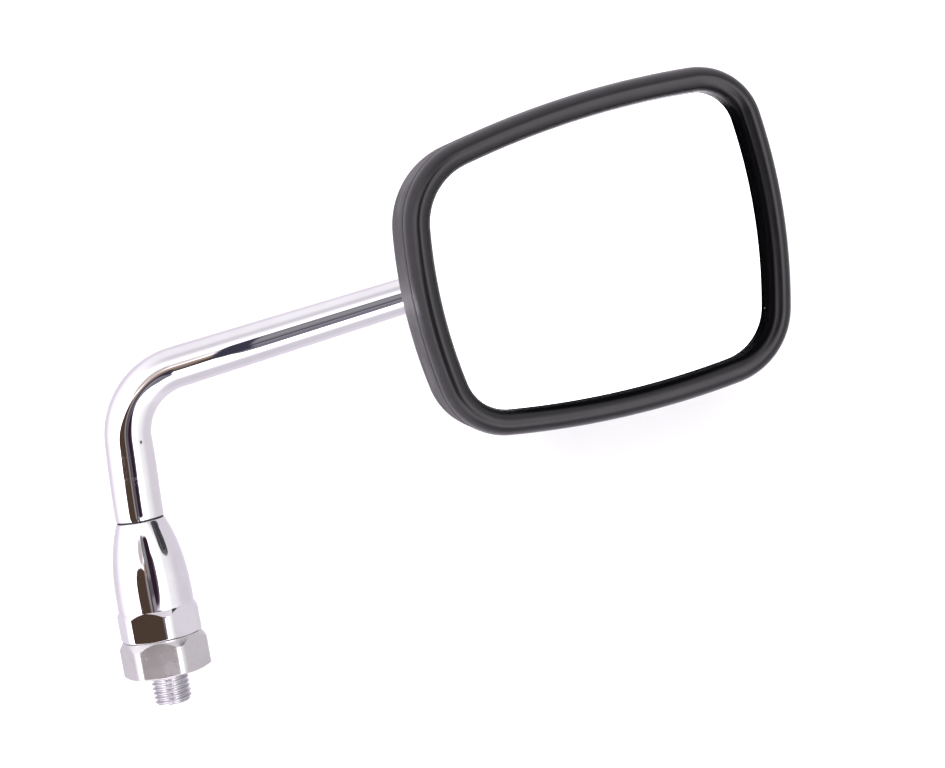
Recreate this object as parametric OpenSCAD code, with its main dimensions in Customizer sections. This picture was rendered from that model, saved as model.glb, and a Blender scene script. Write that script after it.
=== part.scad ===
// Right-hand motorcycle mirror on a bent, tapered stem with a ball-jointed head.
// Millimetres. +Z runs up the mounting stud's axis, +X outboard along the arm,
// and the glass faces -Y, towards the rider. The origin is where the stud's axis
// meets the underside of the adapter's hexagon.
// Each head piece is drawn about the ball's centre, with its +Z out through the glass.

/* [Mounting stud and adapter] */
// Thread diameter of the mounting stud and of the stem's own stud
thread_d = 10; // [8:0.5:12]
// Length of the mounting stud below the adapter's hexagon
stud_length = 8.5; // [6:0.5:20]
// Width across flats of the adapter and of the taper nut
hex_af = 20.4; // [17:0.1:24]
// How much wider the adapter's hexagon is than the nut's, across flats
adapter_extra = 1; // [0:0.1:3]
// Radius of the rounded upright corners of both hexagons
hex_corner_r = 3.2; // [0.5:0.1:5]
// Height of the adapter's hexagon
adapter_height = 9.8; // [8:0.1:14]
// Thickness of metal left under the adapter's threaded hole
adapter_floor = 2.6; // [2:0.1:4]
// Angle of the turned chamfer at the top of both hexagons, from level
hex_top_chamfer = 56; // [15:1:70]
// Angle of the chamfer at their feet, from level
hex_foot_chamfer = 20; // [5:1:60]
// Chamfer on the ends of the threads
thread_chamfer = 0.8; // [0.3:0.1:1.2]

/* [Taper nut] */
// Height of the taper nut's hexagon
nut_hex_height = 8.4; // [6:0.1:12]
// Height of the bell above the hexagon
bell_height = 23.4; // [16:0.1:30]
// How quickly the bell spreads below the stem
bell_power = 2.6; // [1.5:0.1:4]
// Angle by which the nut's flats are turned from the adapter's
nut_turn = -10; // [-30:1:30]

/* [Stem] */
// Outside diameter of the stem at its foot
stem_foot_d = 13; // [12:0.1:16]
// Outside diameter where the arm leaves the bend
stem_mid_d = 11.2; // [9.5:0.1:13]
// Outside diameter at the arm's tip
stem_tip_d = 8.4; // [7.8:0.1:10]
// Wall of the stem
stem_wall = 1.5; // [1:0.1:1.6]
// Height of the straight foot before the bend
foot_length = 21; // [14:0.5:40]
// Angle by which the foot leans towards the arm
foot_lean = 2.4; // [0.5:0.1:6]
// Length over which the lean builds up
lean_length = 6; // [4:0.5:12]
// Angle of the arm from the stud's axis
arm_angle = 82.4; // [60:0.1:95]
// Centreline radius of the main bend
bend_radius = 18.4; // [14:0.1:40]
// Straight length of the arm between its two bends
arm_length = 94.1; // [60:0.1:160]
// Centreline radius of the bend behind the head
tip_bend_radius = 13; // [10:0.5:20]
// Straight length of the tip after that bend
tip_length = 2.5; // [1:0.1:10]
// Thickness of the washer that seals the foot of the stem
washer_thickness = 0.3; // [0.2:0.1:1.5]

/* [Ball joint] */
// Diameter of the ball
ball_d = 14; // [12:0.5:18]
// Diameter of the neck behind the ball
neck_d = 6.2; // [5:0.1:7]
// Distance from the ball's centre to the end of the stem's tube
neck_length = 11; // [9:0.5:16]
// Depth to which the ball pin and the stem's stud sit in the tube
plug_depth = 6; // [4:0.5:12]
// Thickness of the friction liners
liner_thickness = 1; // [0.6:0.1:2]
// Thickness of the two pressed steel plates
plate_thickness = 1.4; // [1:0.1:2]
// Depth of the stay plate's front face behind the ball's centre
stay_depth = 1.5; // [1:0.1:2.5]
// Height of the clamp plate's rear face in front of the ball's centre
clamp_height = 3.2; // [2.5:0.1:4]
// Radius of the circle that carries the three clamp screws
clamp_circle = 14.5; // [13.5:0.1:18]
// Thread diameter of the clamp screws
clamp_screw_d = 4; // [3:0.5:5]
// Diameter of the clamp screws' heads
clamp_head_d = 7; // [6.6:0.1:9]
// Height of the clamp screws' heads
clamp_head_height = 2; // [1.5:0.1:3]
// Length of the clamp springs as fitted
spring_length = 7.6; // [6:0.1:10]
// Wire diameter of the clamp springs
spring_wire = 0.9; // [0.7:0.1:1.1]
// Number of turns in each clamp spring
spring_turns = 4; // [3:1:6]
// Half the spacing of the stay screws across the head
stay_half_x = 20; // [18:0.5:24]
// Half the spacing of the stay screws up the head
stay_half_y = 11.5; // [10:0.5:14]
// Diameter of the stay screws
stay_screw_d = 3; // [2.5:0.5:4]
// Diameter of the stay screws' heads
stay_head_d = 5.6; // [5:0.1:7]
// Height of the stay screws' heads
stay_head_height = 1.7; // [1:0.1:2.5]

/* [Head outline] */
// Centre of the lower inboard corner of the glass opening
corner_a = [-29.6, -21.3]; // [-60:0.1:60]
// Centre of the lower outboard corner
corner_b = [25.4, -20.7]; // [-60:0.1:60]
// Centre of the upper outboard corner
corner_c = [32, 22.4]; // [-60:0.1:60]
// Centre of the upper inboard corner
corner_d = [-24.9, 13.1]; // [-60:0.1:60]
// Radius of the lower inboard corner
radius_a = 11; // [6:0.1:20]
// Radius of the lower outboard corner
radius_b = 13.6; // [6:0.1:20]
// Radius of the upper outboard corner
radius_c = 10; // [6:0.1:20]
// Radius of the upper inboard corner
radius_d = 15.6; // [6:0.1:20]
// Radius of the crowned lower edge
crown_low = 222; // [120:1:400]
// Radius of the crowned outboard edge
crown_out = 139; // [80:1:400]
// Radius of the crowned upper edge
crown_top = 226; // [120:1:400]
// Radius of the crowned inboard edge
crown_in = 124; // [80:1:400]

/* [Head] */
// Turn of the head about the vertical, towards the outboard side
head_pan = 12; // [0:0.1:24]
// Tilt of the head, up is positive
head_tilt = 0.4; // [-10:0.1:10]
// Turn of the head in its own plane
head_roll = 4; // [-15:0.1:15]
// Offset of the outline's centre from the ball
head_shift = [0, -0.9]; // [-10:0.1:10]
// Distance from the ball's centre to the front of the glass
glass_front = 22.5; // [20:0.1:30]
// Thickness of the glass
glass_thickness = 2.6; // [1.8:0.1:4]
// Overlap of the rim's lip on the glass
lip_overlap = 2; // [1:0.1:2.6]
// Thickness of the backing plate
backing_thickness = 1.5; // [1:0.1:2.5]
// Thickness of the toe that closes the rim's channel behind the backing plate
toe_thickness = 1.5; // [1:0.1:2]
// Overlap of that toe on the backing plate
toe_overlap = 1.2; // [0.6:0.1:1.6]
// Width of the rim from the glass opening to its outer edge
rim_width = 6.2; // [5.2:0.1:8]
// Height of the rim's inner wall above the glass
wall_height = 2.3; // [1:0.1:4]
// Radius of the bead at the top of the inner wall
bead_r = 3.2; // [1:0.1:3.6]
// Drop from the bead's crest to the rim's outer edge
rim_drop = 6; // [3:0.1:7]
// How far the lip's foot leans in over the glass
lip_flare = 0.2; // [0:0.1:0.8]
// Chamfers that form the groove between rim and shell
seam_chamfer = 0.4; // [0.2:0.1:0.6]
// Thickness of the shell's wall
shell_wall = 2.4; // [1.8:0.1:3]
// How far the shell's edge stands outside the rim
shell_proud = 0.1; // [0:0.1:0.5]
// Height of the shell's upright side
side_height = 13.6; // [9:0.1:18]
// Draft of that side over its height
side_draft = 0.4; // [0:0.1:1.5]
// Width of the ledge inside the shell that carries the rim
ledge_width = 1.7; // [1:0.1:2.2]
// Thickness of that ledge
ledge_thickness = 1.5; // [1:0.1:2]
// Distance of the shell's back behind the ball's centre
shell_back = 9.4; // [9:0.1:14]
// Fullness of the shell's dome
dome_power = 2.6; // [2:0.1:4]
// Radius of the opening for the stem in the shell's back
shell_opening_r = 8.6; // [8:0.1:12]
// Height of the collar round that opening
collar_height = 1; // [0.5:0.1:2]

/* [Fits] */
// Radial clearance of the stem's stud in the nut and the adapter
thread_clearance = 0.06; // [0.02:0.01:0.1]
// Clearance between the ball, its liners and their seats
ball_clearance = 0.06; // [0.02:0.01:0.1]
// Clearance of pieces that are fixed inside one another
seat_clearance = 0.05; // [0.02:0.01:0.2]
// Running gap under the stem's washer
washer_gap = 0.1; // [0.05:0.05:0.3]

/* [Hidden] */
$fn = 48;

thread_r = thread_d / 2;
bore_r = thread_r + thread_clearance;
nut_z = adapter_height;
bell_z = nut_z + nut_hex_height;
seam_z = bell_z + bell_height;
washer_z = seam_z + washer_gap;
foot_z = washer_z + washer_thickness;

// The stem's centreline: directions in the XZ plane are angles from +Z towards +X.
ring_sides = 28;
function along(a) = [sin(a), 0, cos(a)];
function turned(p, a0, a1, r) = p + r * [cos(a0) - cos(a1), 0, sin(a1) - sin(a0)];
function unit(v) = v / norm(v);
lean_r = lean_length / (foot_lean * PI / 180);
p0 = [0, 0, foot_z];
p1 = turned(p0, 0, foot_lean, lean_r);
p2 = p1 + (foot_length - lean_length) * along(foot_lean);
p3 = turned(p2, foot_lean, arm_angle, bend_radius);
p4 = p3 + arm_length * along(arm_angle);
arm_dir = along(arm_angle);
head_dir = [sin(head_pan) * cos(head_tilt), -cos(head_pan) * cos(head_tilt), sin(head_tilt)];
side_dir = unit(head_dir - (head_dir * arm_dir) * arm_dir);
tip_angle = acos(head_dir * arm_dir);
function tip_point(a) = p4 + tip_bend_radius * (sin(a) * arm_dir + (1 - cos(a)) * side_dir);
function tip_way(a) = cos(a) * arm_dir + sin(a) * side_dir;
p5 = tip_point(tip_angle);
p6 = p5 + tip_length * head_dir;
ball_centre = p6 + neck_length * head_dir;

// Lengths along the stem to the places where its taper changes.
bend_end_s = foot_length + bend_radius * (arm_angle - foot_lean) * PI / 180;
tip_s = bend_end_s + arm_length + tip_bend_radius * tip_angle * PI / 180;
taper_start_s = foot_length * 0.7;
function stem_r(s) = lookup(s, [
  [0, stem_foot_d / 2], [taper_start_s, stem_foot_d / 2],
  [bend_end_s, stem_mid_d / 2], [tip_s, stem_tip_d / 2]]);

// Each station is [point, direction, first cross direction, length along the stem].
lean_steps = 3;
bend_steps = 16;
arm_steps = 4;
tip_steps = 9;
flat_y = [0, 1, 0];
side_up = cross(side_dir, arm_dir);
stations = concat(
  [for (i = [0:lean_steps]) let (a = foot_lean * i / lean_steps)
    [turned(p0, 0, a, lean_r), along(a), flat_y, lean_length * i / lean_steps]],
  [for (i = [0:bend_steps]) let (a = foot_lean + (arm_angle - foot_lean) * i / bend_steps)
    [turned(p2, foot_lean, a, bend_radius), along(a), flat_y,
      foot_length + bend_radius * (a - foot_lean) * PI / 180]],
  [for (i = [1:arm_steps]) [p3 + arm_length * i / arm_steps * arm_dir, arm_dir, flat_y,
    bend_end_s + arm_length * i / arm_steps]],
  [for (i = [1:tip_steps]) let (a = tip_angle * i / tip_steps)
    [tip_point(a), tip_way(a), cross(side_up, tip_way(a)),
      bend_end_s + arm_length + tip_bend_radius * a * PI / 180]],
  [[p6, head_dir, cross(side_up, head_dir), tip_s + tip_length]]);
function ring(st, r) = let (e1 = st[2], e2 = cross(st[1], e1))
  [for (j = [0:ring_sides - 1]) let (a = 360 * j / ring_sides)
    st[0] + r * (cos(a) * e1 + sin(a) * e2)];
function ring_corner(m, n, i, j) = (i % m) * n + j % n;
// Two triangles for each patch between rings i and i + 1.
function patches(m, n, rings) = [for (i = [0:rings - 1]) for (j = [0:n - 1]) for (k = [0, 1])
  k == 0 ? [ring_corner(m, n, i, j), ring_corner(m, n, i + 1, j), ring_corner(m, n, i + 1, j + 1)]
         : [ring_corner(m, n, i, j), ring_corner(m, n, i + 1, j + 1), ring_corner(m, n, i, j + 1)]];

// A closed skin: the last ring joins the first.
module looped_skin(rings) {
  n = len(rings[0]);
  polyhedron(points = [for (r = rings) for (p = r) p], faces = patches(len(rings), n, len(rings)));
}

// A skin with a flat cap on each end.
module capped_skin(rings) {
  m = len(rings);
  n = len(rings[0]);
  polyhedron(points = [for (r = rings) for (p = r) p],
    faces = concat(patches(m, n, m - 1),
      [[for (j = [0:n - 1]) j]], [[for (j = [0:n - 1]) m * n - 1 - j]]));
}

// The head's outline: four corners and four crowned edges that run into them smoothly.
corners = [corner_a, corner_b, corner_c, corner_d];
corner_rs = [radius_a, radius_b, radius_c, radius_d];
crowns = [crown_low, crown_out, crown_top, crown_in];
function next(i) = (i + 1) % 4;
function crown_centre(i) = let (
  a = corners[i], b = corners[next(i)], l = norm(b - a), e = (b - a) / l,
  ra = crowns[i] - corner_rs[i], rb = crowns[i] - corner_rs[next(i)],
  m = (ra * ra - rb * rb + l * l) / (2 * l), h = sqrt(ra * ra - m * m))
  a + m * e + h * [-e[1], e[0]];
crown_centres = [for (i = [0:3]) crown_centre(i)];
function bearing(from, to) = atan2(to[1] - from[1], to[0] - from[0]);
function sweep_angle(a0, a1) = (a1 - a0 + 720) % 360;
// Every arc is [centre, radius, start angle, angle].
arcs = [for (i = [0:3]) for (k = [0, 1])
  let (o = crown_centres[i], c = corners[next(i)], o2 = crown_centres[next(i)])
  k == 0
    ? let (a0 = bearing(o, corners[i])) [o, crowns[i], a0, sweep_angle(a0, bearing(o, c))]
    : let (a0 = bearing(o, c)) [c, corner_rs[next(i)], a0, sweep_angle(a0, bearing(o2, c))]];
crown_steps = 6;
corner_steps = 8;
// Points round the outline, p outside the glass opening.
function outline(p) = [for (k = [0:7]) let (arc = arcs[k], n = k % 2 == 0 ? crown_steps : corner_steps)
  for (i = [0:n - 1]) let (a = arc[2] + arc[3] * i / n) arc[0] + (arc[1] + p) * [cos(a), sin(a)]];
outline_centre = (corner_a + corner_b + corner_c + corner_d) / 4;

// A flat plate inside the outline.
module outline_plate(p, low, high) {
  translate([0, 0, low]) linear_extrude(high - low) polygon(outline(p));
}

module at_head() {
  translate(ball_centre) rotate([0, 0, head_pan]) rotate([-head_tilt, 0, 0])
    rotate([90, 0, 0]) rotate([0, 0, head_roll]) children();
}

module at_outline() {
  at_head() translate([head_shift[0], head_shift[1], 0]) children();
}

// Levels in the head, from the ball's centre.
ball_r = ball_d / 2;
liner_r = ball_r + ball_clearance;
seat_r = liner_r + liner_thickness + ball_clearance;
neck_r = neck_d / 2;
stay_z = -stay_depth;
glass_z = glass_front - glass_thickness;
backing_z = glass_z - backing_thickness;
toe_z = backing_z - toe_thickness;
crest_z = glass_front + wall_height + bead_r;
seam_level = crest_z - rim_drop;
shell_p = rim_width + shell_proud;
shell_inside_p = shell_p - shell_wall;
dome_z = seam_level - side_height;
dome_p = shell_p - side_draft;
dome_depth = dome_z + shell_back;
spring_z = clamp_height + plate_thickness;
screw_head_z = spring_z + spring_length;
hole_p = clamp_screw_d / 2 + 0.2;

hex_corner_steps = 6;
module rounded_hex(af) {
  polygon([for (i = [0:5]) for (k = [0:hex_corner_steps]) let (a = 60 * i - 30 + 60 * k / hex_corner_steps)
    (af / 2 - hex_corner_r) / cos(30) * [cos(60 * i), sin(60 * i)] + hex_corner_r * [cos(a), sin(a)]]);
}

module chamfered_hex(low, height, af) {
  face_r = af / 2 - 0.2;
  out = af / 2 / cos(30);
  drop = (out - face_r) * tan(hex_top_chamfer);
  lift = (out - face_r) * tan(hex_foot_chamfer);
  intersection() {
    translate([0, 0, low]) linear_extrude(height) rounded_hex(af);
    rotate_extrude() polygon([[0, low], [face_r, low], [out, low + lift],
      [out, low + height - drop], [face_r, low + height], [0, low + height]]);
  }
}

module adapter() {
  color("silver") difference() {
    union() {
      chamfered_hex(0, adapter_height, hex_af + adapter_extra);
      rotate_extrude() polygon([
        [0, 1], [thread_r, 1], [thread_r, thread_chamfer - stud_length],
        [thread_r - thread_chamfer, -stud_length], [0, -stud_length]]);
    }
    translate([0, 0, adapter_floor]) cylinder(r = bore_r, h = adapter_height);
  }
}

bell_top_r = stem_foot_d / 2;
function bell_r(t) = bell_top_r + (hex_af / 2 - bell_top_r) * (1 - pow(1 - t, bell_power));
bell_rows = 24;

module taper_nut() {
  color("gainsboro") difference() {
    union() {
      rotate([0, 0, nut_turn]) chamfered_hex(nut_z, nut_hex_height, hex_af);
      rotate_extrude() polygon(concat([[0, bell_z - 1], [0, seam_z]],
        [for (i = [0:bell_rows]) [bell_r(i / bell_rows), seam_z - bell_height * i / bell_rows]],
        [[bell_r(1), bell_z - 1]]));
    }
    translate([0, 0, nut_z - 1]) cylinder(r = bore_r, h = seam_z - nut_z + 2);
  }
}

module seal_washer() {
  color("black") difference() {
    translate([0, 0, washer_z]) cylinder(d = stem_foot_d - 0.5, h = washer_thickness);
    translate([0, 0, washer_z - 1]) cylinder(r = thread_r + seat_clearance, h = washer_thickness + 2);
  }
}

foot_plug_r = (stem_foot_d / 2 - stem_wall) * cos(180 / ring_sides) - seat_clearance;
tip_plug_r = (stem_tip_d / 2 - stem_wall) * cos(180 / ring_sides) - seat_clearance;

module stem_stud() {
  end = adapter_floor + 0.3;
  top = foot_z + lean_length * 0.8;
  color("silver") rotate_extrude() polygon([
    [0, end], [thread_r - thread_chamfer, end], [thread_r, end + thread_chamfer],
    [thread_r, foot_z - 0.3], [min(thread_r, foot_plug_r), foot_z],
    [min(thread_r, foot_plug_r) - 0.15, top - 0.6], [min(thread_r, foot_plug_r) - 0.75, top], [0, top]]);
}

module stem_tube() {
  color("gainsboro") looped_skin(concat(
    [for (st = stations) ring(st, stem_r(st[3]))],
    [for (i = [len(stations) - 1:-1:0]) ring(stations[i], stem_r(stations[i][3]) - stem_wall)]));
}

module ball_pin() {
  shoulder_r = stem_tip_d / 2 - 0.3;
  depth = min(plug_depth, tip_length);
  color("silver") at_head() union() {
    sphere(r = ball_r);
    rotate_extrude() polygon([
      [0, 0], [neck_r, 0], [neck_r, 1 - neck_length], [shoulder_r, 0.4 - neck_length],
      [shoulder_r, -neck_length], [tip_plug_r, -neck_length],
      [tip_plug_r, 0.5 - neck_length - depth], [tip_plug_r - 0.5, -neck_length - depth],
      [0, -neck_length - depth]]);
  }
}

// A part of a hollow sphere between two angles from the head's axis.
module sphere_zone(inner, outer, from, to) {
  n = 12;
  rotate_extrude() polygon(concat(
    [for (i = [0:n]) let (a = from + (to - from) * i / n) outer * [sin(a), cos(a)]],
    [for (i = [n:-1:0]) let (a = from + (to - from) * i / n) inner * [sin(a), cos(a)]]));
}

module front_liner() {
  color("ivory") at_head() sphere_zone(liner_r, liner_r + liner_thickness, 12, 58);
}

module rear_liner() {
  color("ivory") at_head() sphere_zone(liner_r, liner_r + liner_thickness, 104, 133);
}

module stay_outline() {
  lug = stay_head_d / 2 + 1.6;
  union() {
    square([2 * stay_half_x, 2 * (stay_half_y + lug)], center = true);
    square([2 * (stay_half_x + lug), 2 * stay_half_y], center = true);
    for (x = [-1, 1]) for (y = [-1, 1]) translate([x * stay_half_x, y * stay_half_y]) circle(r = lug);
    for (i = [0:2]) rotate([0, 0, 90 + 120 * i]) translate([clamp_circle, 0]) circle(r = clamp_screw_d / 2 + 3);
  }
}

module on_clamp_circle(i) {
  rotate([0, 0, 90 + 120 * i]) translate([clamp_circle, 0, 0]) children();
}

module on_stay_corner(i) {
  translate([(i == 0 || i == 3 ? -1 : 1) * stay_half_x, (i < 2 ? -1 : 1) * stay_half_y, 0]) children();
}

module stay_plate() {
  dish_r = seat_r + plate_thickness;
  collar = 2;
  color("darkgray") at_head() difference() {
    union() {
      translate([0, 0, stay_z - plate_thickness]) linear_extrude(plate_thickness) stay_outline();
      rotate_extrude() intersection() {
        circle(r = dish_r);
        translate([0, -dish_r * cos(44)]) square([dish_r, dish_r * cos(44) - stay_depth]);
      }
      for (i = [0:2]) on_clamp_circle(i) translate([0, 0, stay_z - plate_thickness - collar])
        cylinder(r = clamp_screw_d / 2 + 1.1, h = collar + plate_thickness / 2);
    }
    sphere(r = seat_r);
    translate([0, 0, -dish_r]) cylinder(r = seat_r * sin(46), h = dish_r);
    for (i = [0:2]) on_clamp_circle(i) translate([0, 0, stay_z - plate_thickness - collar - 1])
      cylinder(r = clamp_screw_d / 2 + seat_clearance, h = plate_thickness + collar + 2);
    for (i = [0:3]) on_stay_corner(i) translate([0, 0, stay_z - plate_thickness - 1])
      cylinder(r = stay_screw_d / 2 + 0.15, h = plate_thickness + 2);
  }
}

module clamp_plate() {
  dish_r = seat_r + plate_thickness;
  lug = clamp_head_d / 2 + 1;
  color("darkgray") at_head() difference() {
    union() {
      translate([0, 0, clamp_height]) linear_extrude(plate_thickness) union() {
        circle(r = dish_r + 2);
        for (i = [0:2]) rotate([0, 0, 90 + 120 * i]) {
          translate([clamp_circle, 0]) circle(r = lug);
          translate([0, -lug]) square([clamp_circle, 2 * lug]);
        }
      }
      intersection() {
        sphere(r = dish_r);
        translate([0, 0, clamp_height]) cylinder(r = dish_r, h = dish_r);
      }
    }
    sphere(r = seat_r);
    cylinder(r = 2, h = 2 * dish_r);
    for (i = [0:2]) on_clamp_circle(i) translate([0, 0, clamp_height - 1])
      cylinder(r = hole_p, h = plate_thickness + 2);
  }
}

module clamp_screw(i) {
  r = clamp_screw_d / 2;
  low = stay_z - plate_thickness - 2.4;
  recess = clamp_head_height * 0.6;
  color("silver") at_head() on_clamp_circle(i) difference() {
    rotate_extrude() polygon([
      [0, low], [r - 0.5, low], [r, low + 0.5], [r, screw_head_z], [clamp_head_d / 2, screw_head_z],
      [clamp_head_d / 2, screw_head_z + clamp_head_height * 0.6],
      [clamp_head_d / 2 - 0.8, screw_head_z + clamp_head_height], [0, screw_head_z + clamp_head_height]]);
    for (a = [0, 90]) rotate([0, 0, a]) translate([0, 0, screw_head_z + clamp_head_height])
      cube([clamp_head_d * 0.55, 0.9, 2 * recess], center = true);
  }
}

spring_steps = 14;
module clamp_spring(i) {
  wire = spring_wire / 2;
  coil_r = clamp_head_d / 2 - wire - 0.2;
  rise = spring_length - spring_wire - 0.1;
  low = spring_z + wire + 0.05;
  total = spring_turns * spring_steps;
  // The first and last half turns lie nearly flat, as ground ends do.
  function lift(t) = rise * (t < 0.125 ? t * 0.4 : t > 0.875 ? 1 - (1 - t) * 0.4 : 0.05 + (t - 0.125) * 1.2);
  color("dimgray") at_head() on_clamp_circle(i) capped_skin([for (k = [0:total])
    let (a = 360 * k / spring_steps, c = [coil_r * cos(a), coil_r * sin(a), low + lift(k / total)],
      e1 = [cos(a), sin(a), 0])
    [for (j = [0:5]) let (b = 60 * j) c + wire * (cos(b) * e1 + sin(b) * [0, 0, 1])]]);
}

module stay_screw(i) {
  r = stay_screw_d / 2;
  recess = stay_head_height * 0.6;
  low = stay_z - plate_thickness - boss_grip;
  color("silver") at_head() on_stay_corner(i) difference() {
    rotate_extrude() polygon([
      [0, low], [r * 0.4, low], [r, low + r * 0.8], [r, stay_z], [stay_head_d / 2, stay_z],
      [stay_head_d / 2, stay_z + stay_head_height * 0.5],
      [stay_head_d / 2 - 0.7, stay_z + stay_head_height], [0, stay_z + stay_head_height]]);
    for (a = [0, 90]) rotate([0, 0, a]) translate([0, 0, stay_z + stay_head_height])
      cube([stay_head_d * 0.6, 0.8, 2 * recess], center = true);
  }
}

// The shell's dome: the outline shrinks towards the back as a superellipse.
dome_rows = 9;
dome_start = 4;
function dome_ring(p, depth, base, t) = let (s = pow(sin(t), 2 / dome_power), d = depth * pow(cos(t), 2 / dome_power))
  [for (q = outline(p)) let (c = outline_centre + s * (q - outline_centre)) [c[0], c[1], base - d]];
function level_ring(p, z) = [for (q = outline(p)) [q[0], q[1], z]];
// Level of the dome's outside at a distance from its middle.
function dome_at(x, y) = let (s = norm([x / (norm(corner_b - corner_a) / 2 + radius_a + dome_p),
    y / (norm(corner_d - corner_a) / 2 + radius_a + dome_p)]))
  dome_z - dome_depth * pow(1 - pow(min(s, 1), dome_power), 1 / dome_power);
boss_r = stay_screw_d / 2 + 1.9;
boss_foot = dome_at(stay_half_x, stay_half_y) + shell_wall / 2;
boss_top = stay_z - plate_thickness;
boss_grip = boss_top - boss_foot - 0.6;

module back_shell() {
  function angle(i) = dome_start + (90 - dome_start) * i / dome_rows;
  ledge_p = shell_inside_p - ledge_width;
  under_z = toe_z - ledge_thickness;
  rings = concat(
    [for (i = [0:dome_rows]) dome_ring(dome_p, dome_depth, dome_z, angle(i))],
    [level_ring(shell_p, seam_level - seam_chamfer), level_ring(shell_p - seam_chamfer, seam_level)],
    [level_ring(shell_inside_p, seam_level), level_ring(shell_inside_p, toe_z)],
    [level_ring(ledge_p, toe_z), level_ring(ledge_p, under_z)],
    [level_ring(shell_inside_p, under_z - ledge_width)],
    [for (i = [dome_rows:-1:0]) dome_ring(dome_p - shell_wall, dome_depth - shell_wall, dome_z, angle(i))]);
  color([0.14, 0.14, 0.15]) at_head() difference() {
    union() {
      translate([head_shift[0], head_shift[1], 0]) looped_skin(rings);
      translate([0, 0, -shell_back - collar_height])
        cylinder(r = shell_opening_r + 2.2, h = collar_height + shell_wall);
      for (i = [0:3]) on_stay_corner(i) translate([0, 0, boss_foot])
        cylinder(r = boss_r, h = boss_top - boss_foot);
    }
    translate([0, 0, -shell_back - collar_height - 1])
      cylinder(r = shell_opening_r, h = collar_height + shell_wall + 4);
    for (i = [0:3]) on_stay_corner(i) translate([0, 0, boss_top - boss_grip])
      cylinder(r = stay_screw_d / 2 + seat_clearance, h = boss_grip + 1);
  }
}

module backing_plate() {
  color("dimgray") at_outline() outline_plate(lip_overlap, backing_z, glass_z);
}

module mirror_glass() {
  color("lightblue") at_outline() outline_plate(lip_overlap, glass_z, glass_front);
}

// The rim's section, clockwise from the tip of the lip: [distance outside the opening, height].
bead_steps = 6;
brow_steps = 9;
channel_p = lip_overlap + seat_clearance;
tongue_p = shell_inside_p - seat_clearance;
rim_section = concat(
  [[-lip_flare, glass_front], [-lip_flare * 0.5, glass_front + wall_height * 0.5]],
  [for (i = [0:bead_steps - 1]) let (a = 180 - 90 * i / bead_steps)
    [bead_r + bead_r * cos(a), glass_front + wall_height + bead_r * sin(a)]],
  [for (i = [0:brow_steps]) let (a = 90 * (1 - i / brow_steps))
    [bead_r + (rim_width - bead_r) * cos(a), seam_level + seam_chamfer + (rim_drop - seam_chamfer) * sin(a)]],
  [[rim_width - seam_chamfer, seam_level], [tongue_p, seam_level], [tongue_p, toe_z],
    [channel_p - toe_overlap, toe_z], [channel_p - toe_overlap, backing_z],
    [channel_p, backing_z], [channel_p, glass_front]]);

module rubber_rim() {
  rounds = [for (q = rim_section) outline(q[0])];
  color([0.2, 0.2, 0.21]) at_outline() looped_skin([for (k = [0:len(rounds[0]) - 1])
    [for (j = [0:len(rim_section) - 1]) [rounds[j][k][0], rounds[j][k][1], rim_section[j][1]]]]);
}

adapter();
taper_nut();
seal_washer();
stem_stud();
stem_tube();
ball_pin();
front_liner();
rear_liner();
back_shell();
stay_plate();
clamp_plate();
clamp_screw(0);  // clamp_screw_1
clamp_screw(1);  // clamp_screw_2
clamp_screw(2);  // clamp_screw_3
clamp_spring(0);  // clamp_spring_1
clamp_spring(1);  // clamp_spring_2
clamp_spring(2);  // clamp_spring_3
stay_screw(0);  // stay_screw_1
stay_screw(1);  // stay_screw_2
stay_screw(2);  // stay_screw_3
stay_screw(3);  // stay_screw_4
backing_plate();
mirror_glass();
rubber_rim();
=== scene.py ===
import bpy
import bmesh
import math
from mathutils import Matrix, Vector


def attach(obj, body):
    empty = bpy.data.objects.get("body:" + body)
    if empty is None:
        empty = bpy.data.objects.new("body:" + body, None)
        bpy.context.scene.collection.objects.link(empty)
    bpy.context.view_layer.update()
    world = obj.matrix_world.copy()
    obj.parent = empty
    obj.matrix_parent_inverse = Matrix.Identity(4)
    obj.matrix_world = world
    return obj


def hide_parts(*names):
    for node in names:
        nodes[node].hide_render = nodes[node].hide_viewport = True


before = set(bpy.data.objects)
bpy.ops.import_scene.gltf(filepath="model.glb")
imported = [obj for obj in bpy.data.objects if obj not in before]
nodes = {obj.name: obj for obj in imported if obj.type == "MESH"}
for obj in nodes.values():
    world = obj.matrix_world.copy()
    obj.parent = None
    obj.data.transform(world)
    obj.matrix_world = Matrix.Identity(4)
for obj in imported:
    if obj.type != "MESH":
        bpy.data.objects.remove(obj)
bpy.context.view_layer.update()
mm = 0.001  # every shape below is written in millimetres
print("motorcycle mirror: frame loaded with", len(nodes), "nodes")


# meshes

def addPiece(name, verts, faces, body, stands=(), sharp=32):
    mesh = bpy.data.meshes.new(name)
    mesh.from_pydata([Vector(v) * mm for v in verts], [], faces)
    bm = bmesh.new()
    bm.from_mesh(mesh)
    bmesh.ops.remove_doubles(bm, verts=bm.verts, dist=1e-7)
    bmesh.ops.dissolve_degenerate(bm, edges=bm.edges, dist=1e-8)
    bmesh.ops.recalc_face_normals(bm, faces=bm.faces)
    bm.to_mesh(mesh)
    bm.free()
    mesh.shade_smooth()
    mesh.set_sharp_from_angle(angle=math.radians(sharp))
    piece = bpy.data.objects.new(name, mesh)
    bpy.context.collection.objects.link(piece)
    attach(piece, body)
    if stands:
        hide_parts(*stands)
    return piece


def gridFaces(rows, columns, closeRows=False, closeColumns=True, start=0):
    faces = []
    for i in range(rows if closeRows else rows - 1):
        for j in range(columns if closeColumns else columns - 1):
            a, b = start + i * columns, start + (i + 1) % rows * columns
            k = (j + 1) % columns
            faces.append((a + j, b + j, b + k, a + k))
    return faces


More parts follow.
